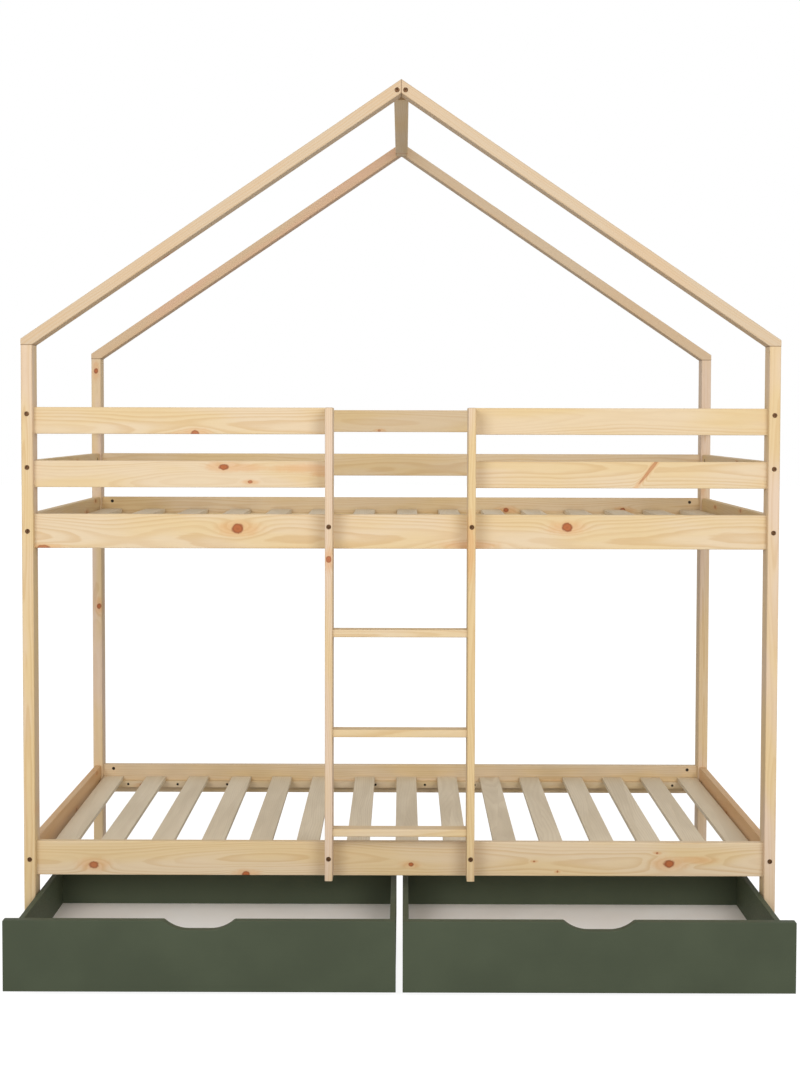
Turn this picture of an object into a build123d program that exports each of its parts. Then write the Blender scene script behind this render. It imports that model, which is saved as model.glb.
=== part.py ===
from build123d import *
import os
from math import asin, cos, degrees, radians, tan

# A bunk bed of solid pine boards with a house roof, a fixed ladder and two rolling drawers.
# X runs along the bed, Y from its front to its back and Z up. The origin is on the floor, under
# the middle of the box round the whole bed with its drawers pulled out as far as they stand here.
# The left is -X, as seen from the front. All sizes are in millimetres.

# Frame
frame_length = 1980.0  # over the posts, along X
frame_width = 980.0  # over the posts, along Y
post_width = 30.0  # along X
post_depth = 55.0  # along Y
post_height = 1637.0
post_round = 3.0  # rounding of the posts' and rafters' long edges

# Rails and guards
rail_thickness = 20.0
rail_height = 90.0
lower_rail_bottom = 238.0
upper_rail_bottom = 1105.0
guard_height = 70.0
guard_gap = 70.0  # open gap under each guard rail
rail_round = 2.5

# Slatted bases
ledger_width = 20.0
ledger_height = 20.0
ledger_lift = 20.0  # ledger's underside above the rail's underside
ledger_end_gap = 5.0  # between a ledger's end and the post
slat_width = 63.0
slat_thickness = 12.0
slat_pitch = 132.0
slat_end_gap = 2.5  # between a slat's end and the long rail
slat_margin = 1.0  # least room between an end slat and the posts
slat_round = 1.5
slat_skew = 14.0  # how far the first slat's back end lies further out than its front end
slat_drift = (4, 3, 9, 15, 14, 12, 18, 20, 19, 24, 20, 28, 24, 16, 4)  # slats laid by hand

# Ladder
ladder_clear = 350.0  # between the stiles
stile_thickness = 20.0
stile_depth = 85.0
stile_foot_lift = 4.0  # stile's foot above the lower rail's underside
stile_round = 3.0
rung_count = 3
rung_thickness = 20.0
rung_depth = 40.0
rung_setback = 9.0  # behind the stiles' front edges
first_rung_top = 376.0
rung_pitch = 261.5
rung_round = 3.0

# Roof
roof_pitch = 34.15  # degrees
rafter_thickness = 30.0  # square to the slope
ridge_width = 38.0
ridge_height = 30.0
ridge_drop = 13.5  # ridge beam's top below the peak
ridge_round = 2.0

# Furniture bolts with barrel nuts, structural screws, ledger screws and dowels
bolt_radius = 3.0
bolt_clearance = 0.4  # round a bolt in its hole
bolt_head_radius = 5.8
bolt_head_height = 4.0
bolt_head_sink = 1.0  # top of the head below the wood
head_clearance = 0.7  # round a head in its counterbore
socket_radius = 2.6  # across the corners of the hex socket
socket_depth = 2.5
bolt_overrun = 6.0  # bolt's tip past the middle of its nut
tip_room = 2.0  # free hole past a bolt's tip
nut_distance = 32.0  # middle of a barrel nut from the post's face
nut_radius = 5.0
nut_length = 15.0
nut_slot_width = 1.5
nut_slot_depth = 1.5
press_clearance = 0.05  # round whatever is pressed, glued or screwed into wood
thread_clearance = 0.1  # round a bolt in its nut
main_bolt_spread = 63.0  # between the two bolts at each end of a long main rail
guard_bolt_drop = 16.0  # bolt along X, below the guard's middle
guard_bolt_rise = 17.0  # bolt along Y, above the guard's middle
long_screw_length = 80.0
stile_screw_rise = 16.5  # above the main rail's middle
ridge_screw_spread = 22.0
ridge_screw_height = 15.0  # above the ridge beam's underside
ledger_screw_pitch = 159.5
ledger_screw_margin = 70.0  # least distance from the ledger's end
ledger_screw_radius = 2.0
ledger_screw_head_radius = 4.0
ledger_screw_length = 35.0
dowel_radius = 4.0
dowel_length = 36.0
stile_dowel_depth = 14.0  # part of a rung's dowel inside the stile
rung_dowel_spread = 20.0
rafter_dowel_spread = 26.0

# Drawers
drawer_pull = 209.0  # fronts' backs stand this far in front of the posts
drawer_gap = 17.0  # between the two fronts
front_thickness = 20.0
front_height = 180.0
front_lift = 15.0  # above the floor
front_corner = 3.5  # rounding of the front's upper corners
front_round = 2.0
front_overhang = 36.5  # front's outer end past the box
finger_width = 176.0  # finger cut-out, between its upper corners
finger_flat = 54.0  # straight part of its bottom, between its two arcs
finger_depth = 24.0
finger_corner = 10.0  # rounding of its upper corners
wall_thickness = 15.0
wall_height = 130.0
wall_round = 2.0
box_depth = 455.0  # behind the front
floor_thickness = 12.0
floor_drop = 100.0  # floor's top below the walls' tops
groove_depth = 5.0
groove_clearance = 0.2
box_dowel_radius = 3.0
box_dowel_length = 24.0
box_dowel_depth = 10.0  # part of a box dowel inside the front or the side
box_dowel_margin = 22.0  # dowels from the wall's top and from the floor; one more is under it

# Fixed castors
wheel_radius = 30.0
wheel_width = 20.0
wheel_web = 10.0  # thickness between the hub and the tread
wheel_hub_radius = 9.0
wheel_rim = 7.0
wheel_round = 3.0
wheel_side_clearance = 1.0
axle_radius = 3.0
axle_clearance = 0.06
axle_head_radius = 5.0
axle_head_height = 1.5
castor_metal = 2.0
castor_plate_length = 60.0  # along Y
castor_plate_width = 46.0  # along X
castor_ear_radius = 10.0
castor_inset = 50.0  # middle of a castor from the walls beside it

# Places that follow from the sizes
stand_out = drawer_pull + front_thickness
front_face = (stand_out - frame_width) / 2
back_face = front_face + frame_width
half_length = frame_length / 2
half_inner = half_length - post_width
rows = {"front": -1, "back": 1}
sides = {"left": -1, "right": 1}
row_face = {"front": front_face, "back": back_face}
row_y = {row: row_face[row] - rows[row] * post_depth / 2 for row in rows}
side_rail_x = half_length - post_width / 2
side_rail_length = frame_width - 2 * post_depth
bed_middle_y = (front_face + back_face) / 2
main_bottoms = {"lower": lower_rail_bottom, "upper": upper_rail_bottom}
first_guard_bottom = upper_rail_bottom + rail_height + guard_gap
guard_bottoms = {"lower": first_guard_bottom, "upper": first_guard_bottom + guard_height + guard_gap}
main_middles = [bottom + rail_height / 2 for bottom in main_bottoms.values()]
guard_middles = [bottom + guard_height / 2 for bottom in guard_bottoms.values()]
main_bolt_levels = [z + up * main_bolt_spread / 2 for z in main_middles for up in (-1, 1)]
guard_bolt_levels = [z - guard_bolt_drop for z in guard_middles]
side_bolt_levels = main_middles + [z + guard_bolt_rise for z in guard_middles]
head_depth = bolt_head_height + bolt_head_sink
short_bolt_shank = post_width - head_depth + nut_distance + bolt_overrun
long_bolt_shank = post_depth - head_depth + nut_distance + bolt_overrun
stile_nut_distance = short_bolt_shank - (stile_thickness - head_depth) - bolt_overrun

stile_inner = ladder_clear / 2
stile_outer = stile_inner + stile_thickness
stile_x = (stile_inner + stile_outer) / 2
stile_back = row_y["front"] + rail_thickness / 2
stile_front = stile_back - stile_depth
stile_foot = lower_rail_bottom + stile_foot_lift
stile_top = guard_bottoms["upper"] + guard_height
rung_y = stile_front + rung_setback + rung_depth / 2
rung_names = ["bottom", "middle", "top"] + [f"{extra}" for extra in range(4, rung_count + 1)]
rung_middles = [first_rung_top - rung_thickness / 2 + i * rung_pitch for i in range(rung_count)]

slope = tan(radians(roof_pitch))
eaves_run = half_inner
peak_under = post_height + eaves_run * slope
peak_over = peak_under + rafter_thickness / cos(radians(roof_pitch))
ridge_top = peak_over - ridge_drop


def keep(piece, name):
    """Labels a finished piece and writes its file."""
    piece.part.label = name
    export_step(piece.part, f"parts/{name}.step")


def facing(point, direction):
    """A plane at the point that looks along the direction, for holes and fasteners."""
    return Plane(origin=point, z_dir=direction)


def bolt_hole(mouth, outward, depth):
    """Counterbore and through hole for one bolt, in the piece being built."""
    with Locations(facing(mouth, outward)):
        CounterBoreHole(
            bolt_radius + bolt_clearance, bolt_head_radius + head_clearance, head_depth, depth
        )


def nut_holes(end, outward, nut_side, distance):
    """Bolt hole into a board's end, and the cross hole of its barrel nut from one face."""
    with Locations(facing(end, outward)):
        Hole(bolt_radius + bolt_clearance, distance + bolt_overrun + tip_room)
    mouth = Vector(end) - Vector(outward) * distance + Vector(nut_side) * rail_thickness / 2
    with Locations(facing(mouth, nut_side)):
        Hole(nut_radius + press_clearance, nut_length)


def screw_hole(mouth, outward, radius, depth):
    """Plain hole that a screw or dowel of this radius fills, in the piece being built."""
    with Locations(facing(mouth, outward)):
        Hole(radius + press_clearance, depth)


def headed_bolts(places, shank):
    """Bolts or screws with round, socketed heads, one at each place, whose seat is the place."""
    with Locations(*places):
        Cylinder(bolt_radius, shank, align=(Align.CENTER, Align.CENTER, Align.MAX))
        Cylinder(
            bolt_head_radius, bolt_head_height, align=(Align.CENTER, Align.CENTER, Align.MIN)
        )
    with BuildSketch(*[place.offset(bolt_head_height) for place in places]) as sockets:
        RegularPolygon(socket_radius, 6)
    extrude(sockets.sketch, amount=-socket_depth, mode=Mode.SUBTRACT)


os.makedirs("parts", exist_ok=True)

# Posts. Bolts come in from the outer side for the long rails and from the end for the side rails.
for row, sy in rows.items():
    for side, sx in sides.items():
        with BuildPart() as post:
            with Locations((sx * side_rail_x, row_y[row], post_height / 2)):
                Box(post_width, post_depth, post_height)
            fillet(post.edges().filter_by(Axis.Z), post_round)
            for z in main_bolt_levels + guard_bolt_levels:
                bolt_hole((sx * half_length, row_y[row], z), (sx, 0, 0), post_width)
            for z in side_bolt_levels:
                bolt_hole((sx * side_rail_x, row_face[row], z), (0, sy, 0), post_depth)
            for along in (-1, 1):
                dowel_y = row_y[row] + along * rafter_dowel_spread / 2
                dowel_mouth = (sx * side_rail_x, dowel_y, post_height)
                screw_hole(dowel_mouth, (0, 0, 1), dowel_radius, dowel_length / 2)
        keep(post, f"post_{row}_{side}")

# Rafters, mitred at the peak and cut level on the posts' tops
for row, sy in rows.items():
    for side, sx in sides.items():
        with BuildPart() as rafter:
            with BuildSketch(Plane.XZ.offset(-row_y[row])):
                with BuildLine():
                    Polyline(
                        (sx * half_inner, post_height),
                        (sx * half_length, post_height),
                        (sx * half_length, peak_over - half_length * slope),
                        (0, peak_over),
                        (0, peak_under),
                        close=True,
                    )
                make_face()
            extrude(amount=post_depth / 2, both=True)
            fillet(rafter.edges().filter_by(Axis((0, 0, 0), (sx, 0, -slope))), post_round)
            for along in (-1, 1):
                dowel_y = row_y[row] + along * rafter_dowel_spread / 2
                dowel_mouth = (sx * side_rail_x, dowel_y, post_height)
                screw_hole(dowel_mouth, (0, 0, -1), dowel_radius, dowel_length / 2)
            ridge_screw_x = sx * ridge_screw_spread / 2
            ridge_screw_z = ridge_top - ridge_height + ridge_screw_height
            bolt_hole((ridge_screw_x, row_face[row], ridge_screw_z), (0, sy, 0), post_depth)
        keep(rafter, f"rafter_{row}_{side}")

with BuildPart() as ridge_beam:
    with Locations((0, bed_middle_y, ridge_top - ridge_height / 2)):
        Box(ridge_width, side_rail_length, ridge_height)
    fillet(ridge_beam.edges().filter_by(Axis.Y), ridge_round)
    for row, sy in rows.items():
        for sx in sides.values():
            screw_mouth = (
                sx * ridge_screw_spread / 2,
                row_face[row] - sy * post_depth,
                ridge_top - ridge_height + ridge_screw_height,
            )
            reach = long_screw_length - (post_depth - bolt_head_sink) + tip_room
            screw_hole(screw_mouth, (0, sy, 0), bolt_radius, reach)
keep(ridge_beam, "ridge_beam")


def x_rail(name, row, x_from, x_to, bottom, height, bolted, screws=()):
    """A rail along X. bolted lists (direction, bolt levels, nut distance) of each end, and
    screws lists (mouth, outward, radius, depth) of each screw's hole."""
    with BuildPart() as rail:
        with Locations(((x_from + x_to) / 2, row_y[row], bottom + height / 2)):
            Box(x_to - x_from, rail_thickness, height)
        fillet(rail.edges().filter_by(Axis.X), rail_round)
        for toward, levels, distance in bolted:
            for z in levels:
                end = (x_from if toward < 0 else x_to, row_y[row], z)
                nut_holes(end, (toward, 0, 0), (0, -rows[row], 0), distance)
        for screw in screws:
            screw_hole(*screw)
    keep(rail, name)


def y_rail(name, side, bottom, height, level):
    """A rail along Y between the front and back posts, with one bolt at each end."""
    x = sides[side] * side_rail_x
    with BuildPart() as rail:
        with Locations((x, bed_middle_y, bottom + height / 2)):
            Box(rail_thickness, side_rail_length, height)
        fillet(rail.edges().filter_by(Axis.Y), rail_round)
        for row, sy in rows.items():
            end = (x, row_face[row] - sy * post_depth, level)
            nut_holes(end, (0, sy, 0), (-sides[side], 0, 0), nut_distance)
    keep(rail, name)


# Ledger screws, at an even pitch centred along each ledger
ledger_length = 2 * (half_inner - ledger_end_gap)
ledger_screw_count = 1 + int((ledger_length - 2 * ledger_screw_margin) // ledger_screw_pitch)
ledger_screw_x = [
    (i - (ledger_screw_count - 1) / 2) * ledger_screw_pitch for i in range(ledger_screw_count)
]
ledger_screw_grip = ledger_screw_length - ledger_width

# Long main rails, with the ledger's screws in the inner faces and the ladder's in the front one
for row, sy in rows.items():
    inner_face = row_y[row] - sy * rail_thickness / 2
    for storey, bottom in main_bottoms.items():
        middle = bottom + rail_height / 2
        levels = [middle - main_bolt_spread / 2, middle + main_bolt_spread / 2]
        ledger_middle = bottom + ledger_lift + ledger_height / 2
        screws = [
            ((x, inner_face, ledger_middle), (0, -sy, 0), ledger_screw_radius, ledger_screw_grip)
            for x in ledger_screw_x
        ]
        if row == "front":
            stile_screw_z = middle + stile_screw_rise
            outer_face = row_y[row] - rail_thickness / 2
            reach = long_screw_length - (stile_depth - rail_thickness - bolt_head_sink) + tip_room
            screws += [
                ((sx * stile_x, outer_face, stile_screw_z), (0, -1, 0), bolt_radius, reach)
                for sx in sides.values()
            ]
        ends = [(-1, levels, nut_distance), (1, levels, nut_distance)]
        name = f"{storey}_rail_{row}"
        x_rail(name, row, -half_inner, half_inner, bottom, rail_height, ends, screws)

# Side main rails
for side in sides:
    for storey, bottom in main_bottoms.items():
        y_rail(f"{storey}_rail_{side}", side, bottom, rail_height, bottom + rail_height / 2)

# Guard rails: whole at the back and the sides, in two lengths beside the ladder at the front
for tier, bottom in guard_bottoms.items():
    middle = bottom + guard_height / 2
    level = [middle - guard_bolt_drop]
    ends = [(-1, level, nut_distance), (1, level, nut_distance)]
    x_rail(f"guard_back_{tier}", "back", -half_inner, half_inner, bottom, guard_height, ends)
    ends = [(-1, level, nut_distance), (1, level, stile_nut_distance)]
    x_rail(
        f"guard_front_left_{tier}", "front", -half_inner, -stile_outer, bottom, guard_height, ends
    )
    ends = [(-1, level, stile_nut_distance), (1, level, nut_distance)]
    x_rail(
        f"guard_front_right_{tier}", "front", stile_outer, half_inner, bottom, guard_height, ends
    )
    for side in sides:
        y_rail(f"guard_{side}_{tier}", side, bottom, guard_height, middle + guard_bolt_rise)

# Ledgers along the inner faces of the long main rails, one pair to each bed
for storey, bottom in main_bottoms.items():
    ledger_middle = bottom + ledger_lift + ledger_height / 2
    with BuildPart() as ledgers:
        for row, sy in rows.items():
            inner_face = row_y[row] - sy * rail_thickness / 2
            with Locations((0, inner_face - sy * ledger_width / 2, ledger_middle)):
                Box(ledger_length, ledger_width, ledger_height)
        for row, sy in rows.items():
            mouth_y = row_y[row] - sy * (rail_thickness / 2 + ledger_width)
            for x in ledger_screw_x:
                with Locations(facing((x, mouth_y, ledger_middle), (0, -sy, 0))):
                    CounterSinkHole(
                        ledger_screw_radius + press_clearance,
                        ledger_screw_head_radius + press_clearance,
                        ledger_width,
                    )
    keep(ledgers, f"{storey}_ledgers")

# Slats lie loose across the ledgers, at a steady pitch that drifts a little from slat to slat.
slat_room = half_inner - slat_margin - slat_width / 2
slat_count = 1 + int(2 * slat_room // slat_pitch)
slat_length = 2 * (row_y["back"] - rail_thickness / 2 - slat_end_gap - bed_middle_y)
slat_places = []
for i in range(slat_count):
    lean = slat_skew if i == 0 else 0
    free = slat_room - lean / 2
    even = (i - (slat_count - 1) / 2) * slat_pitch
    x = max(-free, min(free, even + slat_drift[i % len(slat_drift)]))
    slat_places.append((x, degrees(asin(lean / slat_length))))

for storey, bottom in main_bottoms.items():
    slat_middle = bottom + ledger_lift + ledger_height + slat_thickness / 2
    with BuildPart() as slats:
        for x, turn in slat_places:
            with Locations(Location((x, bed_middle_y, slat_middle), (0, 0, turn))):
                Box(slat_width, slat_length, slat_thickness)
        long_edges = slats.edges().filter_by(lambda edge: edge.length > slat_length / 2)
        fillet(long_edges, slat_round)
    keep(slats, f"{storey}_slats")

# Ladder stiles, notched at the back round the front main rails
for side, sx in sides.items():
    with BuildPart() as stile:
        with Locations(
            (sx * stile_x, (stile_front + stile_back) / 2, (stile_foot + stile_top) / 2)
        ):
            Box(stile_thickness, stile_depth, stile_top - stile_foot)
        fillet(stile.edges().filter_by(Axis.Z), stile_round)
        front_top = stile.faces().sort_by(Axis.Z)[-1].edges().sort_by(Axis.Y)[0]
        fillet(front_top, stile_round)
        for bottom in main_bottoms.values():
            notch_middle = (sx * stile_x, row_y["front"], bottom + rail_height / 2)
            with Locations(notch_middle):
                Box(stile_thickness, rail_thickness, rail_height, mode=Mode.SUBTRACT)
            screw_mouth = (
                sx * stile_x, stile_front, bottom + rail_height / 2 + stile_screw_rise
            )
            bolt_hole(screw_mouth, (0, -1, 0), stile_depth - rail_thickness)
        for z in guard_bolt_levels:
            bolt_hole((sx * stile_inner, row_y["front"], z), (-sx, 0, 0), stile_thickness)
        for z in rung_middles:
            for along in (-1, 1):
                mouth = (sx * stile_inner, rung_y + along * rung_dowel_spread / 2, z)
                screw_hole(mouth, (-sx, 0, 0), dowel_radius, stile_dowel_depth)
    keep(stile, f"ladder_stile_{side}")

for name, z in zip(rung_names, rung_middles):
    with BuildPart() as rung:
        with Locations((0, rung_y, z)):
            Box(ladder_clear, rung_depth, rung_thickness)
        fillet(rung.edges().filter_by(Axis.X), rung_round)
        for sx in sides.values():
            for along in (-1, 1):
                mouth = (sx * stile_inner, rung_y + along * rung_dowel_spread / 2, z)
                screw_hole(mouth, (sx, 0, 0), dowel_radius, dowel_length - stile_dowel_depth)
    keep(rung, f"ladder_rung_{name}")

# Bolts and nuts. A place is the seat of a head, or the open face of a nut, and looks outward.
short_places = []
long_places = []
nut_places = []
for row, sy in rows.items():
    for side, sx in sides.items():
        for z in main_bolt_levels + guard_bolt_levels:
            seat_x = sx * (half_length - head_depth)
            short_places.append(facing((seat_x, row_y[row], z), (sx, 0, 0)))
            nut_x = sx * (half_inner - nut_distance)
            nut_face = row_y[row] - sy * rail_thickness / 2
            nut_places.append((facing((nut_x, nut_face, z), (0, -sy, 0)), (sx, 0, 0)))
        for z in side_bolt_levels:
            seat_y = row_face[row] - sy * head_depth
            long_places.append(facing((sx * side_rail_x, seat_y, z), (0, sy, 0)))
            nut_y = row_face[row] - sy * (post_depth + nut_distance)
            nut_face = sx * (side_rail_x - rail_thickness / 2)
            nut_places.append((facing((nut_face, nut_y, z), (-sx, 0, 0)), (0, sy, 0)))
for sx in sides.values():
    for z in guard_bolt_levels:
        seat_x = sx * (stile_inner + head_depth)
        short_places.append(facing((seat_x, row_y["front"], z), (-sx, 0, 0)))
        nut_x = sx * (stile_outer + stile_nut_distance)
        nut_face = row_y["front"] + rail_thickness / 2
        nut_places.append((facing((nut_x, nut_face, z), (0, 1, 0)), (sx, 0, 0)))

with BuildPart() as short_bolts:
    headed_bolts(short_places, short_bolt_shank)
keep(short_bolts, "short_bolts")

with BuildPart() as long_bolts:
    headed_bolts(long_places, long_bolt_shank)
keep(long_bolts, "long_bolts")

with BuildPart() as barrel_nuts:
    for place, thread in nut_places:
        with Locations(place):
            Cylinder(nut_radius, nut_length, align=(Align.CENTER, Align.CENTER, Align.MAX))
            Box(
                nut_slot_width,
                2 * nut_radius,
                nut_slot_depth,
                align=(Align.CENTER, Align.CENTER, Align.MAX),
                mode=Mode.SUBTRACT,
            )
        bore_middle = place.origin - place.z_dir * rail_thickness / 2
        with Locations(facing(bore_middle, thread)):
            Cylinder(bolt_radius + thread_clearance, 2 * nut_radius, mode=Mode.SUBTRACT)
keep(barrel_nuts, "barrel_nuts")

# Structural screws: from the ladder's front into the main rails, and through the peak into the
# ridge beam
screw_places = []
for sx in sides.values():
    for z in main_middles:
        seat = (sx * stile_x, stile_front + head_depth, z + stile_screw_rise)
        screw_places.append(facing(seat, (0, -1, 0)))
    for row, sy in rows.items():
        seat = (
            sx * ridge_screw_spread / 2,
            row_face[row] - sy * head_depth,
            ridge_top - ridge_height + ridge_screw_height,
        )
        screw_places.append(facing(seat, (0, sy, 0)))
with BuildPart() as long_screws:
    headed_bolts(screw_places, long_screw_length - bolt_head_height)
keep(long_screws, "long_screws")

with BuildPart() as ledger_screws:
    for row, sy in rows.items():
        mouth_y = row_y[row] - sy * (rail_thickness / 2 + ledger_width)
        for bottom in main_bottoms.values():
            ledger_middle = bottom + ledger_lift + ledger_height / 2
            places = [facing((x, mouth_y, ledger_middle), (0, -sy, 0)) for x in ledger_screw_x]
            with Locations(*places):
                Cylinder(
                    ledger_screw_radius,
                    ledger_screw_length,
                    align=(Align.CENTER, Align.CENTER, Align.MAX),
                )
                Cone(
                    ledger_screw_radius,
                    ledger_screw_head_radius,
                    ledger_screw_head_radius - ledger_screw_radius,
                    align=(Align.CENTER, Align.CENTER, Align.MAX),
                )
keep(ledger_screws, "ledger_screws")

# Dowels: two at each rafter's foot and two at each rung's end
with BuildPart() as dowels:
    for row in rows:
        for sx in sides.values():
            for along in (-1, 1):
                dowel_y = row_y[row] + along * rafter_dowel_spread / 2
                with Locations(facing((sx * side_rail_x, dowel_y, post_height), (0, 0, 1))):
                    Cylinder(dowel_radius, dowel_length)
    for sx in sides.values():
        dowel_x = sx * (stile_inner + stile_dowel_depth - dowel_length / 2)
        for z in rung_middles:
            for along in (-1, 1):
                dowel_y = rung_y + along * rung_dowel_spread / 2
                with Locations(facing((dowel_x, dowel_y, z), (sx, 0, 0))):
                    Cylinder(dowel_radius, dowel_length)
keep(dowels, "dowels")

# Drawers, mirrored about the bed's middle
front_back = front_face - drawer_pull
front_top = front_lift + front_height
box_end = front_back + box_depth
inner_wall = drawer_gap / 2
outer_wall = half_length - front_overhang
wall_middle = front_top - wall_height / 2
floor_top = front_top - floor_drop
floor_middle = floor_top - floor_thickness / 2
floor_under = floor_top - floor_thickness
slot_height = floor_thickness + 2 * groove_clearance
box_inside = outer_wall - inner_wall - 2 * wall_thickness
box_middle = (inner_wall + outer_wall) / 2
groove_reach = 2 * groove_depth
panel_reach = 2 * (groove_depth - groove_clearance)
floor_middle_y = (front_back + box_end - wall_thickness) / 2
floor_depth = box_depth - wall_thickness
dowel_levels = [
    front_top - box_dowel_margin,
    floor_top + box_dowel_margin,
    (front_top - wall_height + floor_under) / 2,
]
castor_rows = {
    "front": front_back + castor_inset,
    "back": box_end - wall_thickness - castor_inset,
}
castor_x = [
    inner_wall + wall_thickness + castor_inset,
    outer_wall - wall_thickness - castor_inset,
]
ear_inner = wheel_width / 2 + wheel_side_clearance
ear_outer = ear_inner + castor_metal


def floor_groove(x):
    """The groove that the drawer's floor sits in, cut from the piece being built."""
    with Locations((x, floor_middle_y, floor_middle)):
        Box(
            box_inside + groove_reach,
            floor_depth + groove_reach,
            slot_height,
            mode=Mode.SUBTRACT,
        )


for side, sx in sides.items():
    # The box's dowels, each as (place on the end of a wall, direction out of that end)
    wall_xs = [sx * (inner_wall + wall_thickness / 2), sx * (outer_wall - wall_thickness / 2)]
    front_joints = [((x, front_back, z), (0, -1, 0)) for x in wall_xs for z in dowel_levels]
    back_joints = []
    for toward in (-1, 1):
        joint_x = sx * (box_middle + toward * box_inside / 2)
        joint_y = box_end - wall_thickness / 2
        back_joints += [((joint_x, joint_y, z), (sx * toward, 0, 0)) for z in dowel_levels]

    # Front, with the finger cut-out in the middle of its top edge
    front_length = half_length - inner_wall
    front_middle = sx * (half_length + inner_wall) / 2
    outline_plane = Plane(
        origin=(front_middle, front_back - front_thickness, front_lift),
        x_dir=(1, 0, 0),
        z_dir=(0, -1, 0),
    )
    front_end = (front_length / 2, front_height)
    finger_end = (finger_width / 2, front_height)
    flat_end = (finger_flat / 2, front_height - finger_depth)
    with BuildPart() as front:
        with BuildSketch(outline_plane) as outline:
            with BuildLine():
                Polyline((0, 0), (front_length / 2, 0), front_end, finger_end)
                TangentArc(flat_end, finger_end, tangent=(1, 0))
                Line(flat_end, (0, front_height - finger_depth))
                mirror(about=Plane.YZ)
            make_face()
            corners = outline.vertices().group_by(Axis.Y)[-1].sort_by(Axis.X)
            fillet((corners[0], corners[-1]), front_corner)
            corners = outline.vertices().group_by(Axis.Y)[-1].sort_by(Axis.X)
            fillet(corners[1:-1], finger_corner)
        extrude(amount=-front_thickness)
        fillet(front.faces().sort_by(Axis.Y)[0].edges(), front_round)
        floor_groove(sx * box_middle)
        for mouth, outward in front_joints:
            inward = (0, -outward[1], 0)
            screw_hole(mouth, inward, box_dowel_radius, box_dowel_depth)
    keep(front, f"drawer_{side}_front")

    # Side walls, back wall and floor
    for which, x in zip(("inner", "outer"), wall_xs):
        with BuildPart() as wall:
            with Locations((x, front_back + box_depth / 2, wall_middle)):
                Box(wall_thickness, box_depth, wall_height)
            fillet(wall.edges().filter_by(Axis.Y).group_by(Axis.Z)[-1], wall_round)
            floor_groove(sx * box_middle)
            for mouth, outward in front_joints:
                if abs(mouth[0] - x) < wall_thickness / 2:
                    reach = box_dowel_length - box_dowel_depth
                    screw_hole(mouth, outward, box_dowel_radius, reach)
            for mouth, outward in back_joints:
                if abs(mouth[0] - x) < wall_thickness:
                    inward = (-outward[0], 0, 0)
                    screw_hole(mouth, inward, box_dowel_radius, box_dowel_depth)
        keep(wall, f"drawer_{side}_{which}_side")

    with BuildPart() as back:
        with Locations((sx * box_middle, box_end - wall_thickness / 2, wall_middle)):
            Box(box_inside, wall_thickness, wall_height)
        fillet(back.edges().filter_by(Axis.X).group_by(Axis.Z)[-1], wall_round)
        floor_groove(sx * box_middle)
        for mouth, outward in back_joints:
            reach = box_dowel_length - box_dowel_depth
            screw_hole(mouth, outward, box_dowel_radius, reach)
    keep(back, f"drawer_{side}_back")

    with BuildPart() as floor_panel:
        with Locations((sx * box_middle, floor_middle_y, floor_middle)):
            Box(box_inside + panel_reach, floor_depth + panel_reach, floor_thickness)
    keep(floor_panel, f"drawer_{side}_floor")

    with BuildPart() as box_dowels:
        for mouth, outward in front_joints + back_joints:
            with Locations(facing(mouth, outward).offset(box_dowel_depth - box_dowel_length / 2)):
                Cylinder(box_dowel_radius, box_dowel_length)
    keep(box_dowels, f"drawer_{side}_dowels")

    # Fixed castors: a plate with two ears and a riveted axle, under the floor's four corners
    with BuildPart() as castors:
        for x in castor_x:
            for y in castor_rows.values():
                with Locations((sx * x, y, floor_under - castor_metal / 2)):
                    Box(castor_plate_width, castor_plate_length, castor_metal)
                for toward in (-1, 1):
                    ear_plane = Plane.YZ.offset(sx * x + toward * (ear_inner + ear_outer) / 2)
                    with BuildSketch(ear_plane):
                        with Locations((y, wheel_radius)):
                            Circle(castor_ear_radius)
                        with Locations((y, (wheel_radius + floor_under - castor_metal) / 2)):
                            Rectangle(
                                2 * castor_ear_radius, floor_under - castor_metal - wheel_radius
                            )
                    extrude(amount=castor_metal / 2, both=True)
                with Locations(facing((sx * x, y, wheel_radius), (1, 0, 0))):
                    Cylinder(axle_radius, 2 * ear_outer)
                for toward in (-1, 1):
                    head = sx * x + toward * (ear_outer + axle_head_height / 2)
                    with Locations(facing((head, y, wheel_radius), (1, 0, 0))):
                        Cylinder(axle_head_radius, axle_head_height)
    keep(castors, f"drawer_{side}_castors")

    for row, y in castor_rows.items():
        with BuildPart() as wheels:
            for x in castor_x:
                half_section = Plane(
                    origin=(sx * x, y, wheel_radius), x_dir=(1, 0, 0), z_dir=(0, -1, 0)
                )
                with BuildSketch(half_section) as section:
                    with Locations((0, wheel_radius / 2)):
                        Rectangle(wheel_web, wheel_radius)
                    with Locations((0, wheel_hub_radius / 2)):
                        Rectangle(wheel_width, wheel_hub_radius)
                    with Locations((0, wheel_radius - wheel_rim / 2)):
                        Rectangle(wheel_width, wheel_rim)
                    fillet(section.vertices().group_by(Axis.Y)[-1], wheel_round)
                    with Locations((0, (axle_radius + axle_clearance) / 2)):
                        Rectangle(
                            wheel_width, axle_radius + axle_clearance, mode=Mode.SUBTRACT
                        )
                revolve(axis=Axis((sx * x, y, wheel_radius), (1, 0, 0)))
        keep(wheels, f"drawer_{side}_{row}_wheels")
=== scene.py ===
import math
import random
import bpy
from mathutils import Matrix, Vector


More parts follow.
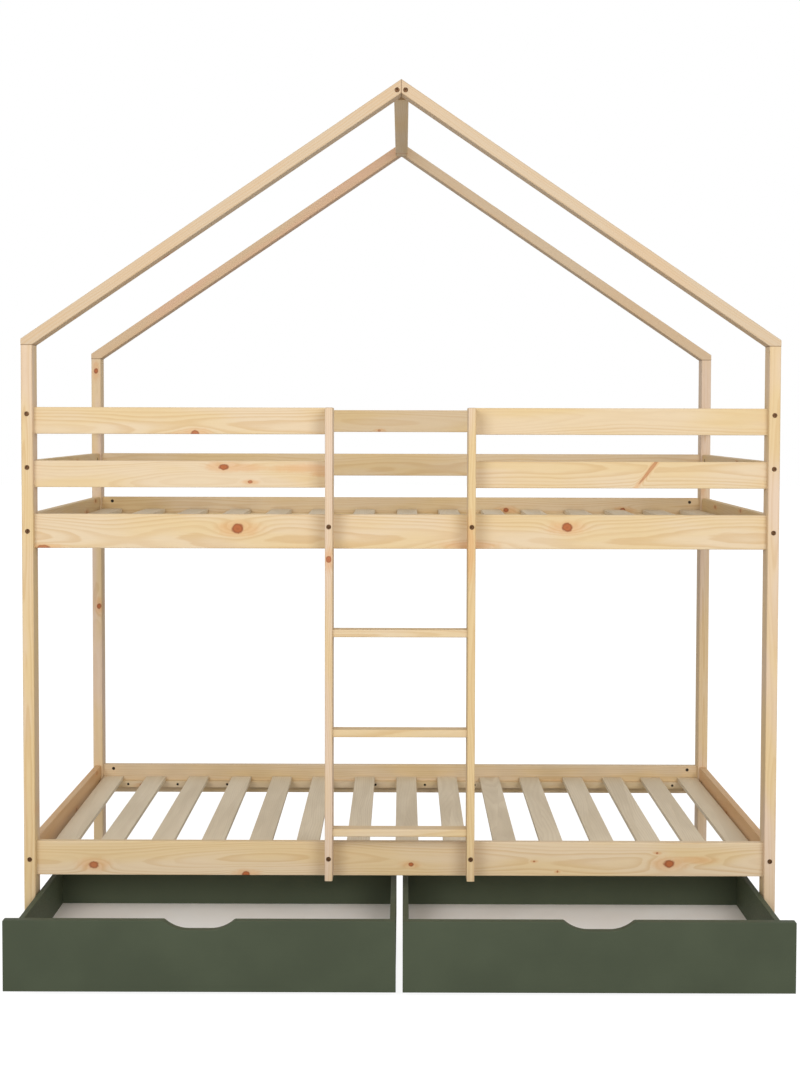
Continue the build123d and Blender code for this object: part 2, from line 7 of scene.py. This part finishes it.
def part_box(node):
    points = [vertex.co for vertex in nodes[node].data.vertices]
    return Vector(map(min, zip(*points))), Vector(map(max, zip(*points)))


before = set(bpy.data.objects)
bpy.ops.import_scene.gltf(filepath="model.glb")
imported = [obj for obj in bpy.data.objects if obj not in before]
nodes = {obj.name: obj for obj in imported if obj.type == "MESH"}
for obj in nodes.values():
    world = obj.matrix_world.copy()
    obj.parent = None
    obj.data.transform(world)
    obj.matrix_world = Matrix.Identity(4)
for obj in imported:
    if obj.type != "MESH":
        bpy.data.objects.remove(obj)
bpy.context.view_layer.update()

MM = 0.001
AXES = {"X": Vector((1, 0, 0)), "Y": Vector((0, 1, 0)), "Z": Vector((0, 0, 1))}


# Colours

def srgb(r, g, b):
    """Linear colour of a screen colour given as 0 to 255."""
    def linear(value):
        value /= 255
        return value / 12.92 if value <= 0.04045 else ((value + 0.055) / 1.055) ** 2.4
    return (linear(r), linear(g), linear(b), 1.0)


PALE = srgb(220, 198, 165)
POST_PALE = srgb(219, 195, 172)
# Darker, more golden copies of the wood for the side rails: painted shade on their inner faces,
# where the lamps reach them less.
SIDE_PALE_SHADED = srgb(214, 178, 136)
SIDE_GOLD_SHADED = srgb(206, 164, 116)
RAFTER_PALE = srgb(206, 184, 155)
RAFTER_WARM = srgb(208, 180, 146)
RAFTER_PINK = srgb(214, 174, 144)
GOLDEN = srgb(218, 191, 142)
LATE = srgb(197, 158, 105)
STREAK = srgb(212, 150, 88)
KNOT_HEART = srgb(172, 92, 46)
KNOT_EDGE = srgb(112, 60, 32)
# End faces: the darker end grain, with painted shade mixed in for ends that sit in joints.
END_GRAIN_AND_SHADE = srgb(164, 122, 80)
SEAM = srgb(112, 80, 52)
SLAT_PALE = srgb(230, 215, 188)
SLAT_GREY = srgb(216, 200, 172)
SLAT_LATE = srgb(196, 174, 140)
PAINT = srgb(70, 77, 60)
PAINT_WORN = srgb(84, 92, 72)
FLOOR_BOARD = srgb(252, 250, 247)
FLOOR_BOARD_WARM = srgb(246, 241, 236)
BRONZE = srgb(112, 82, 56)
BRONZE_DARK = srgb(70, 48, 32)
ZINC = srgb(150, 147, 140)
DULL_ZINC = srgb(74, 66, 58)
DULL_ZINC_DARK = srgb(48, 40, 34)
ZINC_DARK = srgb(116, 112, 106)
SPECK = srgb(150, 140, 130)
WHEEL = srgb(44, 44, 46)
WHEEL_SCUFFED = srgb(86, 84, 82)


# Shader nodes

class Shader:
    """Adds nodes to one shader tree. A socket given as a value is linked."""

    def __init__(self, tree):
        self.tree = tree

    def node(self, kind, values=None, **settings):
        made = self.tree.nodes.new(kind)
        for name, setting in settings.items():
            setattr(made, name, setting)
        self.give(made, values or {})
        return made

    def give(self, node, values):
        """Sets or links a node's inputs."""
        for key, value in values.items():
            if isinstance(value, bpy.types.NodeSocket):
                self.tree.links.new(value, node.inputs[key])
            else:
                node.inputs[key].default_value = value

    def math(self, operation, a, b=0.0, c=0.0):
        return self.node("ShaderNodeMath", {0: a, 1: b, 2: c}, operation=operation).outputs[0]

    def vector(self, operation, a, b=(0.0, 0.0, 0.0)):
        made = self.node("ShaderNodeVectorMath", {0: a, 1: b}, operation=operation)
        return made.outputs["Value" if operation in ("DOT_PRODUCT", "LENGTH") else "Vector"]

    def smooth(self, value, low, high, to_low=0.0, to_high=1.0):
        """An eased step from to_low at low to to_high at high."""
        values = {0: value, 1: low, 2: high, 3: to_low, 4: to_high}
        made = self.node("ShaderNodeMapRange", values, interpolation_type="SMOOTHSTEP")
        return made.outputs[0]

    def mix(self, factor, a, b):
        """A colour between a and b. The node's colour sockets are 6, 7 and output 2."""
        made = self.node("ShaderNodeMix", {0: factor, 6: a, 7: b}, data_type="RGBA")
        return made.outputs[2]

    def noise(self, vector, scale=1.0, detail=2.0, roughness=0.5):
        values = {"Vector": vector, "Scale": scale, "Detail": detail, "Roughness": roughness}
        return self.node("ShaderNodeTexNoise", values)

    def combine(self, x, y, z):
        return self.node("ShaderNodeCombineXYZ", {0: x, 1: y, 2: z}).outputs[0]

    def separate(self, vector):
        return self.node("ShaderNodeSeparateXYZ", {0: vector}).outputs


def new_group(name, inputs, outputs):
    """An empty shader node group with its sockets. Returns the group, its shader, in and out."""
    group = bpy.data.node_groups.new(name, "ShaderNodeTree")
    for way, sockets in (("INPUT", inputs), ("OUTPUT", outputs)):
        for socket, kind in sockets:
            group.interface.new_socket(name=socket, in_out=way, socket_type=f"NodeSocket{kind}")
    shader = Shader(group)
    return group, shader, shader.node("NodeGroupInput").outputs, shader.node("NodeGroupOutput")


def new_material(name):
    """A material with one Principled shader. Returns the material, its shader and the node."""
    material = bpy.data.materials.new(name)
    material.use_nodes = True
    shader = Shader(material.node_tree)
    return material, shader, material.node_tree.nodes["Principled BSDF"]


BUMP_STRENGTH = 0.6


def finish_surface(shader, principled, color, roughness, height, distance):
    """Links a colour, a roughness and a bump height to the Principled shader."""
    values = {"Height": height, "Distance": distance, "Strength": BUMP_STRENGTH}
    bump = shader.node("ShaderNodeBump", values)
    shader.tree.links.new(color, principled.inputs["Base Color"])
    shader.tree.links.new(roughness, principled.inputs["Roughness"])
    shader.tree.links.new(bump.outputs[0], principled.inputs["Normal"])


def make_knot_group():
    """One knot through a board: how far it pushes the rings, its heart, its edge and its halo."""
    inputs = (
        ("Board", "Vector"), ("Centre", "Vector"), ("Radius", "Float"), ("Stretch", "Float"),
        ("Strength", "Float"), ("Slant", "Float"),
    )
    outputs = (("Push", "Float"), ("Heart", "Float"), ("Edge", "Float"), ("Halo", "Float"))
    group, s, given, out = new_group("knot", inputs, outputs)
    offset = s.separate(s.vector("SUBTRACT", given["Board"], given["Centre"]))
    along = s.math("DIVIDE", offset[0], given["Stretch"])
    slanted = s.math("SUBTRACT", offset[1], s.math("MULTIPLY", offset[0], given["Slant"]))
    flat = s.combine(along, slanted, 0.0)
    waver = s.noise(given["Board"], 55.0, 3.0, 0.6).outputs[0]
    distance = s.math("DIVIDE", s.vector("LENGTH", flat), given["Radius"])
    distance = s.math("ADD", distance, s.math("MULTIPLY", s.math("SUBTRACT", waver, 0.5), 0.9))
    heart = s.math("MULTIPLY", s.smooth(distance, 0.7, 1.15, 1.0, 0.0), given["Strength"])
    rim = s.smooth(distance, 0.45, 0.85)
    pit = s.smooth(distance, 0.05, 0.3, 0.3, 0.0)
    rim = s.math("MULTIPLY", s.math("MAXIMUM", rim, pit), heart)
    reach = s.combine(s.math("DIVIDE", along, 2.2), slanted, 0.0)
    reach = s.math("DIVIDE", s.vector("LENGTH", reach), given["Radius"])
    bell = s.math("EXPONENT", s.math("MULTIPLY", s.math("MULTIPLY", reach, reach), -0.35))
    push = s.math("MULTIPLY", s.math("MULTIPLY", bell, given["Radius"]), 1.3)
    ragged = s.math("ADD", reach, s.math("MULTIPLY", s.math("SUBTRACT", waver, 0.5), 1.6))
    halo = s.smooth(ragged, 0.7, 2.3, 1.0, 0.0)
    for name, value in zip(("Push", "Heart", "Edge", "Halo"), (push, heart, rim, halo)):
        s.tree.links.new(value, out.inputs[name])
    return group


PITH_WANDER = 0.05
RING_RIPPLE = 0.0035
RING_SPACING = 0.005


def make_ring_group():
    """Growth rings of a sawn board: late wood, broad tone and fine fibre."""
    inputs = (
        ("Board", "Vector"), ("Pith", "Vector"), ("Push", "Float"),
        ("Spacing", "Float"), ("Seed", "Float"),
    )
    outputs = (("Late", "Float"), ("Tone", "Float"), ("Fibre", "Float"))
    group, s, given, out = new_group("rings", inputs, outputs)
    shift = s.combine(
        s.math("MULTIPLY", given["Seed"], 3.7), s.math("MULTIPLY", given["Seed"], 1.3),
        given["Seed"],
    )

    def stretched(along, across):
        scaled = s.vector("MULTIPLY", given["Board"], (along, across, across))
        return s.vector("ADD", scaled, shift)

    wander = s.noise(stretched(1.6, 5.0), detail=1.0).outputs[1]
    wander = s.vector("SUBTRACT", wander, (0.5, 0.5, 0.5))
    wander = s.vector("MULTIPLY", wander, (0.0, PITH_WANDER, PITH_WANDER))
    ripple = s.noise(stretched(9.0, 60.0), detail=2.0).outputs[0]
    from_pith = s.vector("SUBTRACT", given["Board"], given["Pith"])
    from_pith = s.separate(s.vector("ADD", from_pith, wander))
    radius = s.vector("LENGTH", s.combine(0.0, from_pith[1], from_pith[2]))
    radius = s.math("ADD", radius, given["Push"])
    radius = s.math("ADD", radius, s.math("MULTIPLY", s.math("SUBTRACT", ripple, 0.5), RING_RIPPLE))
    ring = s.math("ADD", s.math("DIVIDE", radius, given["Spacing"]), given["Seed"])
    phase = s.math("FRACT", ring)
    late = s.math("MULTIPLY", s.smooth(phase, 0.25, 0.82), s.smooth(phase, 0.86, 1.0, 1.0, 0.0))
    strength = s.noise(s.combine(s.math("MULTIPLY", ring, 0.6), given["Seed"], 0.0), detail=0.0)
    late = s.math("MULTIPLY", late, s.smooth(strength.outputs[0], 0.3, 0.7, 0.25, 1.0))
    tone = s.smooth(s.noise(stretched(2.6, 14.0), detail=2.0).outputs[0], 0.36, 0.64)
    fibre = s.noise(stretched(30.0, 900.0), detail=2.0, roughness=0.6).outputs[0]
    for name, value in zip(("Late", "Tone", "Fibre"), (late, tone, fibre)):
        s.tree.links.new(value, out.inputs[name])
    return group


KNOT = make_knot_group()
RINGS = make_ring_group()


END_SHADE = 0.55
SEAM_CORE, SEAM_EDGE = 0.4 * MM, 1.8 * MM


def board_space(s, along, across, centre):
    """A point's place in a board: along it, across its face and through it, from its middle."""
    through = along.cross(across)
    point = s.node("ShaderNodeTexCoord").outputs["Object"]
    local = s.vector("SUBTRACT", point, tuple(centre))
    places = [s.vector("DOT_PRODUCT", local, tuple(axis)) for axis in (along, across, through)]
    return s.combine(*places)


def pine(name, along, across, centre, seed, knots=(), gold=0.5, contrast=0.42, each_length=0.0,
         colors=(PALE, GOLDEN, LATE), pith=(0.012, -0.045), seams=(), fibre_depth=0.00007):
    """Sawn pine of three colours: pale and golden early wood, and late wood.

    knots lists (along, across, radius, stretch, strength, slant) from the board's middle, in
    metres. seams lists (axis, place) of the joints that show as a thin dark line.
    """
    material, s, principled = new_material(name)
    board = board_space(s, along, across, centre)
    if each_length:
        island = s.node("ShaderNodeNewGeometry").outputs["Random Per Island"]
        hop = s.combine(s.math("MULTIPLY", island, each_length), 0.0, 0.0)
        board = s.vector("ADD", board, hop)
    push, heart, rim, halo = 0.0, 0.0, 0.0, 0.0
    through = s.separate(board)[2]
    for place_along, place_across, radius, stretch, strength, slant in knots:
        values = {
            "Board": board, "Centre": s.combine(place_along, place_across, through),
            "Radius": radius, "Stretch": stretch, "Strength": strength, "Slant": slant,
        }
        knot = s.node("ShaderNodeGroup", node_tree=KNOT)
        s.give(knot, values)
        push = s.math("ADD", knot.outputs["Push"], push)
        heart = s.math("MAXIMUM", knot.outputs["Heart"], heart)
        rim = s.math("MAXIMUM", knot.outputs["Edge"], rim)
        halo = s.math("MAXIMUM", knot.outputs["Halo"], halo)
    rings = s.node("ShaderNodeGroup", node_tree=RINGS)
    s.give(rings, {"Board": board, "Pith": (0.0, pith[0], pith[1]), "Push": push,
                   "Spacing": RING_SPACING, "Seed": seed})
    late, tone, fibre = rings.outputs
    golden = s.math("ADD", s.math("MULTIPLY", tone, 0.8), gold - 0.4)
    golden = s.math("MINIMUM", s.math("MAXIMUM", golden, 0.0), 1.0)
    color = s.mix(golden, colors[0], colors[1])
    color = s.mix(s.math("MULTIPLY", late, contrast), color, colors[2])
    if knots:
        color = s.mix(s.math("MULTIPLY", halo, 0.4), color, STREAK)
        color = s.mix(s.math("MULTIPLY", heart, 0.95), color, KNOT_HEART)
        color = s.mix(s.math("MULTIPLY", rim, 0.6), color, KNOT_EDGE)
    facing = s.node("ShaderNodeNewGeometry").outputs["Normal"]
    facing = s.math("ABSOLUTE", s.vector("DOT_PRODUCT", facing, tuple(along)))
    # End faces turn darker and more orange: partly the real darker end grain, partly painted shade
    # for board ends in the shade of the joints they butt into.
    color = s.mix(s.smooth(facing, 0.6, 0.95, 0.0, END_SHADE), color, END_GRAIN_AND_SHADE)
    point = s.node("ShaderNodeTexCoord").outputs["Object"]
    for axis, place in seams:
        away = s.math("SUBTRACT", s.vector("DOT_PRODUCT", point, tuple(axis)), place)
        line = s.smooth(s.math("ABSOLUTE", away), SEAM_CORE, SEAM_EDGE, 0.75, 0.0)
        color = s.mix(line, color, SEAM)
    grey = s.smooth(fibre, 0.3, 0.75, 1.0, 0.96)
    scaled = s.node("ShaderNodeVectorMath", {0: color, "Scale": grey}, operation="SCALE")
    roughness = s.smooth(late, 0.0, 1.0, 0.58, 0.5)
    height = s.math("ADD", fibre, s.math("MULTIPLY", late, 0.6))
    finish_surface(s, principled, scaled.outputs[0], roughness, height, fibre_depth)
    principled.inputs["Specular IOR Level"].default_value = 0.3
    return material


def wear(node, material):
    """Gives a CAD node one material."""
    node.data.materials.clear()
    node.data.materials.append(material)


# Boards

FASTENERS = ("short_bolts", "long_bolts", "long_screws", "barrel_nuts", "ledger_screws", "dowels")
ROOF_PITCH = math.radians(34.15)
POST_TOP = 1.637
SLATS_SPAN = 2.5  # knots are strewn over the slats as over one wide board
SLATS_WIDTH = 2.0

# Knots and streaks by board, in millimetres: X, height above the floor, radius, stretch along
# the grain, how much of a heart the knot has (0 is a streak alone), and how steeply it crosses
# the grain where it does.
SEEN_KNOTS = {
    "upper_rail_front": [
        (-426, 1157, 13, 1.25, 1), (437, 1162, 12, 1.2, 1), (-938, 1106, 7, 2.6, 0.8),
        (180, 1115, 7, 3.0, 0),
    ],
    "lower_rail_front": [
        (-809, 265, 11, 1.15, 0.9), (-406, 240, 9, 1.2, 1), (30, 268, 6, 1.3, 1),
        (713, 272, 11, 1.3, 1), (356, 277, 2.5, 1.2, 0.8), (418, 250, 3, 0.8, 0.8),
        (681, 300, 3, 1.2, 0.8), (787, 281, 6, 2.4, 0),
    ],
    "guard_front_left_upper": [(-538, 1407, 9, 1.3, 0.9), (-575, 1402, 5, 2.6, 0)],
    "guard_front_left_lower": [
        (-463, 1319, 8, 1.7, 1), (-394, 1280, 4, 1.7, 0.8), (-420, 1318, 7, 3.0, 0),
        (-245, 1316, 7, 4.0, 0), (-190, 1302, 5, 3.0, 0),
    ],
    "guard_front_right_upper": [],
    "guard_front_right_lower": [(651, 1310, 6.5, 4.6, 0.5, 1.25)],
    "upper_rail_back": [(338, 1155, 8, 1.2, 1), (714, 1155, 8, 1.2, 1)],
    "lower_rail_back": [(510, 268, 8, 3.5, 0)],
    "guard_back_upper": [(-70, 1410, 4, 1.3, 0.6)],
    "guard_back_lower": [(-70, 1257, 6, 1.3, 0.9)],
}
SEEN_UPRIGHT_KNOTS = {
    "ladder_stile_left": [(-185, 1082, 7, 1.3, 0.9)],
    "ladder_stile_right": [(180, 1115, 8, 3.0, 0)],
    "post_back_left": [(-975, 1598, 7, 1.3, 1), (-969, 844, 7, 1.3, 1)],
    "post_front_left": [(-951, 412, 6, 1.3, 0.8)],
    "post_front_right": [],
    "post_back_right": [(968, 1250, 6, 2.4, 0)],
}
CLEAR_BOARDS = "ladder_rung"


def seen_knots(rows, centre, upright):
    """Turns rows of X, height above the floor and shape into places in a board."""
    knots = []
    for x, z, radius, stretch, strength, *slant in rows:
        places = [x * MM - centre.x, z * MM - centre.z]
        if upright:
            places.reverse()
        knots.append((*places, radius * MM, stretch, strength, slant[0] if slant else 0))
    return knots


def random_knots(rng, length, height, few):
    """Small knots at seeded places, for the boards that the photograph does not show closely."""
    knots = []
    for _ in range(rng.randint(*few)):
        radius = rng.uniform(3.0, 6.5) * MM
        place = rng.uniform(-0.46, 0.46) * length
        across = rng.uniform(-0.42, 0.42) * height
        knots.append((place, across, radius, rng.uniform(1.1, 1.8), rng.uniform(0.5, 1.0), 0))
    return knots


def dress_boards():
    """Each board of the frame gets its own sawn face."""
    rng = random.Random(41)
    for name in sorted(nodes):
        if name.startswith("drawer") or name in FASTENERS:
            continue
        low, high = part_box(name)
        size = high - low
        centre = (low + high) / 2
        seed = rng.uniform(0, 40)
        look = {
            "pith": (rng.uniform(-0.02, 0.02), rng.choice((-1, 1)) * rng.uniform(0.025, 0.06)),
            "gold": rng.uniform(0.3, 0.6),
        }
        if "rafter" in name:
            rise = math.sin(ROOF_PITCH) * (1 if "left" in name else -1)
            along, across = Vector((math.cos(ROOF_PITCH), 0, rise)), AXES["Y"]
            knots = random_knots(rng, size.x, size.y, (1, 2))
            look["seams"] = ((AXES["X"], 0.0), (AXES["Z"], POST_TOP))
            look["gold"] = 0.35
            look["fibre_depth"] = 0.00002
            look["colors"] = (RAFTER_PALE, RAFTER_WARM, LATE)
            if name == "rafter_back_left":
                look["colors"] = (RAFTER_WARM, RAFTER_PINK, LATE)
        elif name.startswith("post") or "stile" in name:
            along, across = AXES["Z"], AXES["X"]
            knots = random_knots(rng, size.z, size.x, (1, 2))
            look["seams"] = ((AXES["Z"], POST_TOP),)
            look["colors"] = (POST_PALE, GOLDEN, LATE)
        elif "slats" in name:
            along, across = AXES["Y"], AXES["X"]
            knots = random_knots(rng, SLATS_SPAN, SLATS_WIDTH, (4, 6))
            look = {
                "each_length": 3.0, "contrast": 0.35, "pith": (0.3, -0.4),
                "colors": (SLAT_PALE, SLAT_GREY, SLAT_LATE),
            }
        elif size.x > size.y or "rung" in name:
            along, across = AXES["X"], AXES["Z"]
            knots = random_knots(rng, size.x, size.z, (1, 2))
        else:
            along, across = AXES["Y"], AXES["Z"]
            knots = random_knots(rng, size.y, size.z, (2, 3))
        # The side rails take the darker copies of the wood's colours: painted shade on their inner
        # faces.
        if name in ("lower_rail_left", "lower_rail_right"):
            look["colors"] = (SIDE_PALE_SHADED, SIDE_GOLD_SHADED, LATE)
        if name.startswith(CLEAR_BOARDS):
            knots = []
        if name in SEEN_KNOTS:
            knots = seen_knots(SEEN_KNOTS[name], centre, upright=False)
        if name in SEEN_UPRIGHT_KNOTS:
            knots = seen_knots(SEEN_UPRIGHT_KNOTS[name], centre, upright=True)
        wear(nodes[name], pine(name, along, across, centre, seed, knots, **look))


def metal(name, base, dark, roughness):
    """Plated steel with a faint cloudy tarnish."""
    material, s, principled = new_material(name)
    point = s.node("ShaderNodeTexCoord").outputs["Object"]
    cloud = s.noise(point, 260.0, 3.0).outputs[0]
    scratch = s.noise(s.vector("MULTIPLY", point, (900.0, 900.0, 2500.0)), 1.0, 2.0).outputs[0]
    color = s.mix(s.smooth(cloud, 0.35, 0.7), base, dark)
    rough = s.smooth(scratch, 0.3, 0.7, roughness, roughness + 0.15)
    finish_surface(s, principled, color, rough, scratch, 0.00002)
    principled.inputs["Metallic"].default_value = 0.9
    return material


def painted(name):
    """Matt olive paint over wood: slight cloudiness, faint grain and paler rubbed edges."""
    material, s, principled = new_material(name)
    point = s.node("ShaderNodeTexCoord").outputs["Object"]
    cloud = s.noise(point, 6.0, 3.0).outputs[0]
    grain = s.noise(s.vector("MULTIPLY", point, (9.0, 240.0, 240.0)), 1.0, 3.0).outputs[0]
    orange_peel = s.noise(point, 420.0, 2.0).outputs[0]
    color = s.mix(s.smooth(cloud, 0.3, 0.75, 0.0, 0.35), PAINT, PAINT_WORN)
    pointed = s.node("ShaderNodeNewGeometry").outputs["Pointiness"]
    color = s.mix(s.smooth(pointed, 0.52, 0.58, 0.0, 0.2), color, PAINT_WORN)
    height = s.math("ADD", s.math("MULTIPLY", grain, 0.7), s.math("MULTIPLY", orange_peel, 0.5))
    rough = s.smooth(grain, 0.3, 0.7, 0.5, 0.6)
    finish_surface(s, principled, color, rough, height, 0.00018)
    principled.inputs["Specular IOR Level"].default_value = 0.15
    return material


def floor_board(name):
    """Pale fibreboard with a fine mottle."""
    material, s, principled = new_material(name)
    point = s.node("ShaderNodeTexCoord").outputs["Object"]
    cloud = s.noise(point, 5.0, 2.0).outputs[0]
    speck = s.noise(point, 700.0, 2.0).outputs[0]
    color = s.mix(s.smooth(cloud, 0.3, 0.7), FLOOR_BOARD, FLOOR_BOARD_WARM)
    color = s.mix(s.smooth(speck, 0.55, 0.8, 0.0, 0.12), color, SPECK)
    rough = s.smooth(speck, 0.3, 0.7, 0.5, 0.62)
    finish_surface(s, principled, color, rough, speck, 0.00005)
    return material


def moulded(name):
    """Dark moulded plastic with a fine grain and scuffs."""
    material, s, principled = new_material(name)
    point = s.node("ShaderNodeTexCoord").outputs["Object"]
    grain = s.noise(point, 1500.0, 2.0).outputs[0]
    scuff = s.noise(point, 60.0, 4.0).outputs[0]
    color = s.mix(s.smooth(scuff, 0.55, 0.75, 0.0, 0.5), WHEEL, WHEEL_SCUFFED)
    rough = s.smooth(scuff, 0.3, 0.7, 0.42, 0.62)
    finish_surface(s, principled, color, rough, grain, 0.00006)
    return material


def dress_fasteners_and_drawers():
    """Steel, plastic, paint and board for everything but the frame's own wood."""
    bronze = metal("bronzed_steel", BRONZE, BRONZE_DARK, 0.42)
    dull = metal("dull_steel", DULL_ZINC, DULL_ZINC_DARK, 0.5)
    zinc = metal("zinc_steel", ZINC, ZINC_DARK, 0.36)
    paint = painted("olive_paint")
    for name, node in nodes.items():
        if name in ("short_bolts", "long_bolts", "long_screws"):
            wear(node, bronze)
        elif name in ("barrel_nuts", "ledger_screws"):
            wear(node, dull)
        elif name.endswith("castors"):
            wear(node, zinc)
        elif name.endswith("dowels"):
            low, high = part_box(name)
            wear(node, pine(name, AXES["X"], AXES["Z"], (low + high) / 2, 3.3, gold=0.8))
        elif name.endswith("wheels"):
            wear(node, moulded(name))
        elif name.startswith("drawer") and name.endswith("floor"):
            wear(node, floor_board(name))
        elif name.startswith("drawer"):
            wear(node, paint)


dress_boards()
dress_fasteners_and_drawers()


# Floor, light and camera

WHITE = (1.0, 1.0, 1.0, 1.0)
FLOOR_REACH = 30.0
FLOOR_SOFT = (0.3, 0.3, 0.3, 1.0)  # how much of the shadow the camera sees
FLOOR_GLOW = 0.92
FLOOR_PALE, FLOOR_PALER = (0.78, 0.78, 0.78, 1.0), (0.8, 0.8, 0.8, 1.0)
WORLD_LIGHT = 0.52
LAMP_X, LAMP_Y, LAMP_Z = 2.4, -5.4, 3.2
LAMP_SIZE = 2.4
LAMP_POWER = 126.0
LAMP_TARGET = Vector((0.0, 0.0, 1.2))


def make_floor():
    """A pale floor that keeps a faint shadow and is white where nothing shades it."""
    mesh = bpy.data.meshes.new("studio_floor")
    square = ((-1, -1), (1, -1), (1, 1), (-1, 1))
    corners = [(x * FLOOR_REACH, y * FLOOR_REACH, 0.0) for x, y in square]
    mesh.from_pydata(corners, [], [(0, 1, 2, 3)])
    floor = bpy.data.objects.new("studio_floor", mesh)
    bpy.context.scene.collection.objects.link(floor)
    material = bpy.data.materials.new("studio_floor")
    material.use_nodes = True
    s = Shader(material.node_tree)
    material.node_tree.nodes.clear()
    speck = s.noise(s.node("ShaderNodeTexCoord").outputs["Object"], 3.0).outputs[0]
    pale = s.mix(s.smooth(speck, 0.3, 0.7), FLOOR_PALE, FLOOR_PALER)
    diffuse = s.node("ShaderNodeBsdfDiffuse", {"Color": pale}).outputs[0]
    soft = s.node("ShaderNodeBsdfDiffuse", {"Color": FLOOR_SOFT}).outputs[0]
    glow = s.node("ShaderNodeEmission", {"Color": WHITE, "Strength": FLOOR_GLOW}).outputs[0]
    both = s.node("ShaderNodeAddShader", {0: soft, 1: glow}).outputs[0]
    seen = s.node("ShaderNodeLightPath").outputs["Is Camera Ray"]
    surface = s.node("ShaderNodeMixShader", {0: seen, 1: diffuse, 2: both}).outputs[0]
    s.node("ShaderNodeOutputMaterial", {"Surface": surface})
    mesh.materials.append(material)


def make_world():
    """White to the camera and to reflections, softer as light."""
    world = bpy.data.worlds.new("studio")
    bpy.context.scene.world = world
    world.use_nodes = True
    world.node_tree.nodes.clear()
    s = Shader(world.node_tree)
    path = s.node("ShaderNodeLightPath").outputs
    seen = s.math("MAXIMUM", path["Is Camera Ray"], path["Is Transmission Ray"])
    seen = s.math("MAXIMUM", seen, path["Is Glossy Ray"])
    lit = s.node("ShaderNodeBackground", {"Color": WHITE, "Strength": WORLD_LIGHT}).outputs[0]
    white = s.node("ShaderNodeBackground", {"Color": WHITE, "Strength": 1.0}).outputs[0]
    surface = s.node("ShaderNodeMixShader", {0: seen, 1: lit, 2: white}).outputs[0]
    s.node("ShaderNodeOutputWorld", {"Surface": surface})


def make_lamp(side):
    """A soft square lamp in front of the bed, to the left (-1) or right (1)."""
    name = f"key_{side}"
    light = bpy.data.lights.new(name, "AREA")
    light.shape = "RECTANGLE"
    light.size = light.size_y = LAMP_SIZE
    light.energy = LAMP_POWER
    lamp = bpy.data.objects.new(name, light)
    lamp.location = (side * LAMP_X, LAMP_Y, LAMP_Z)
    lamp.rotation_euler = (LAMP_TARGET - lamp.location).to_track_quat("-Z", "Y").to_euler()
    bpy.context.scene.collection.objects.link(lamp)


def make_camera():
    """The photograph's view: level within a few hundredths of a radian, from 4.5 m in front."""
    width_px, height_px = 800, 1070
    focal_px, middle_y = 1562.47, 480.86
    pitch, yaw, roll = 0.0383, -0.0018, 0.0023
    place = (0.0062, -4.4505, 1.4405)
    camera = bpy.data.cameras.new("camera")
    camera.sensor_fit = "HORIZONTAL"
    camera.sensor_width = 36.0
    camera.lens = camera.sensor_width * focal_px / width_px
    camera.shift_y = (middle_y - height_px / 2) / width_px
    camera.clip_end = 200.0
    level = math.cos(pitch)
    forward = Vector((math.sin(yaw) * level, math.cos(yaw) * level, -math.sin(pitch)))
    right = Vector((math.cos(yaw), -math.sin(yaw), 0.0))
    up = right.cross(forward)
    right_rolled = math.cos(roll) * right + math.sin(roll) * up
    up_rolled = math.cos(roll) * up - math.sin(roll) * right
    rotation = Matrix((right_rolled, up_rolled, -forward)).transposed().to_4x4()
    holder = bpy.data.objects.new("camera", camera)
    holder.matrix_world = Matrix.Translation(place) @ rotation
    bpy.context.scene.collection.objects.link(holder)
    bpy.context.scene.camera = holder


make_floor()
make_world()
for side in (-1, 1):
    make_lamp(side)
make_camera()
bpy.context.scene.view_settings.view_transform = "Standard"
